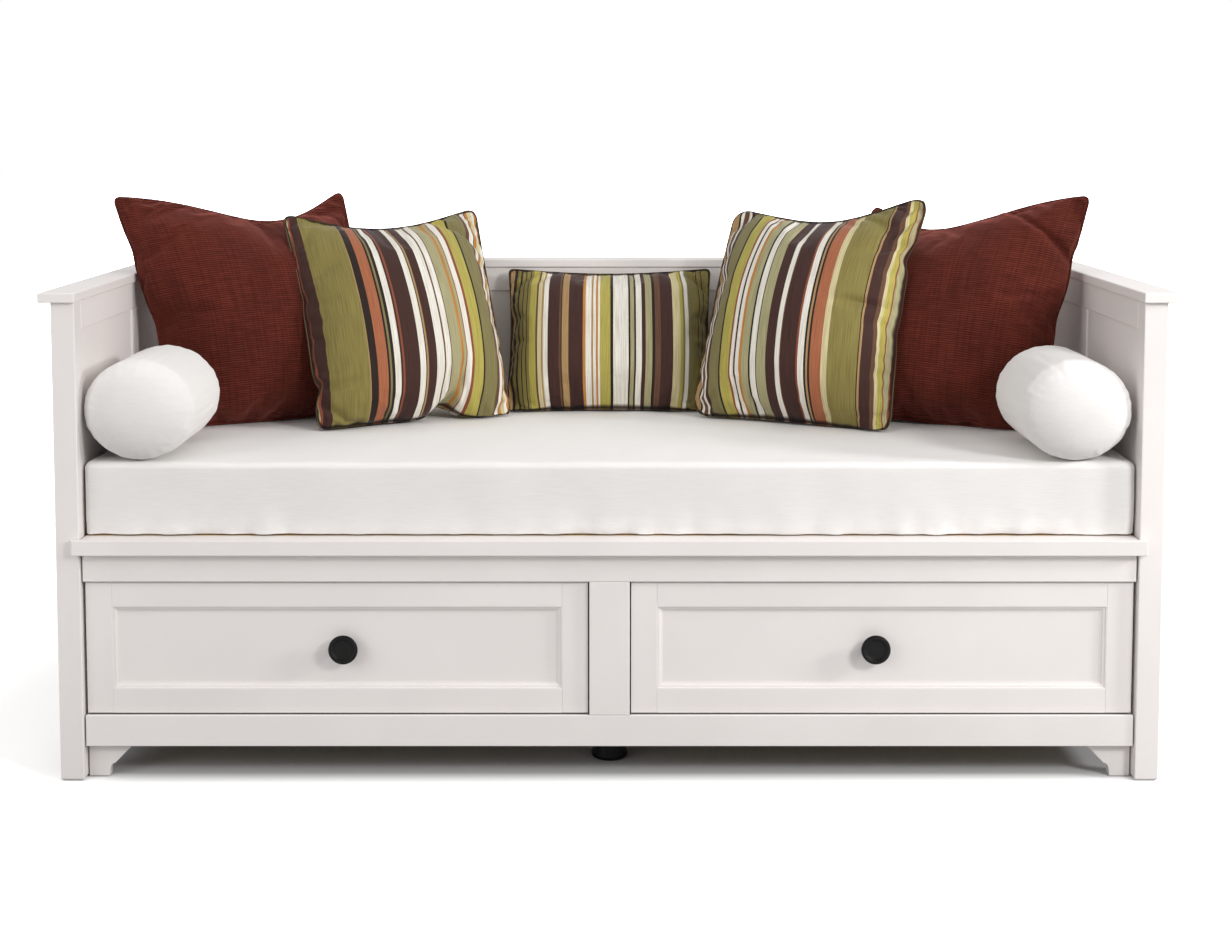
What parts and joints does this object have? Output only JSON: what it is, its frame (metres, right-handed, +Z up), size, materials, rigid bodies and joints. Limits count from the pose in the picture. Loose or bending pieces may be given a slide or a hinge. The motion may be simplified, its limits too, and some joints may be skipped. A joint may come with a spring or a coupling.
{
  "type": "storage daybed",
  "caption": "White painted wooden storage daybed with framed arms and back, a pull-out front with drawers, sliding slats, a mattress, bolsters and cushions.",
  "frame": {"origin": "middle of the bed's plan box, on the floor that the posts stand on", "axes": "+X along the bed to the right as seen from the front, +Y from the drawers to the back, +Z up"},
  "size_m": [2.142, 0.901, 1.1005],
  "materials": {
    "white_paint": "satin",
    "pine": "matte",
    "plywood": "matte",
    "steel_runner": "satin",
    "black_knob": "satin",
    "black_plastic": "satin",
    "white_linen": "matte",
    "rust_fabric": "matte",
    "striped_fabric": "matte"
  },
  "bodies": {
    "bedstead": {"left_front_post": "white_paint", "left_rear_post": "white_paint", "left_arm_top_rail": "white_paint", "left_arm_bottom_rail": "white_paint", "left_arm_panel": "white_paint", "left_arm_cap": "white_paint", "right_front_post": "white_paint", "right_rear_post": "white_paint", "right_arm_top_rail": "white_paint", "right_arm_bottom_rail": "white_paint", "right_arm_panel": "white_paint", "right_arm_cap": "white_paint", "back_top_rail": "white_paint", "back_bottom_rail": "white_paint", "back_panel": "white_paint", "back_cap": "white_paint", "left_side_bearer": "pine", "right_side_bearer": "pine", "front_beam": "pine", "rear_bearer": "pine", "fixed_slats": "pine", "mattress": "white_linen", "left_bolster": "white_linen", "right_bolster": "white_linen", "left_plain_cushion": "rust_fabric", "right_plain_cushion": "rust_fabric", "lumbar_cushion": "striped_fabric", "left_striped_cushion": "striped_fabric", "right_striped_cushion": "striped_fabric"},
    "pullout": {"pullout_ledge": "white_paint", "pullout_apron": "white_paint", "pullout_bottom_rail": "white_paint", "pullout_centre_stile": "white_paint", "left_end_board": "white_paint", "right_end_board": "white_paint", "left_centre_board": "white_paint", "right_centre_board": "white_paint", "left_bracket_foot": "white_paint", "right_bracket_foot": "white_paint", "pullout_rear_rail": "pine", "sliding_slats": "pine", "centre_foot": "black_plastic", "left_inner_runner": "steel_runner", "left_outer_runner": "steel_runner", "right_inner_runner": "steel_runner", "right_outer_runner": "steel_runner"},
    "left_drawer": {"left_drawer_front_frame": "white_paint", "left_drawer_front_panel": "white_paint", "left_drawer_knob": "black_knob", "left_drawer_inner_side": "pine", "left_drawer_outer_side": "pine", "left_drawer_back": "pine", "left_drawer_bottom": "plywood"},
    "right_drawer": {"right_drawer_front_frame": "white_paint", "right_drawer_front_panel": "white_paint", "right_drawer_knob": "black_knob", "right_drawer_inner_side": "pine", "right_drawer_outer_side": "pine", "right_drawer_back": "pine", "right_drawer_bottom": "plywood"}
  },
  "joints": [
    {"name": "pullout_slide", "type": "slide", "parent": "bedstead", "child": "pullout", "axis": [0, -1, 0], "range_m": [0, 0.74]},
    {"name": "left_drawer_slide", "type": "slide", "parent": "pullout", "child": "left_drawer", "axis": [0, -1, 0], "range_m": [0, 0.48]},
    {"name": "right_drawer_slide", "type": "slide", "parent": "pullout", "child": "right_drawer", "axis": [0, -1, 0], "range_m": [0, 0.48]}
  ]
}
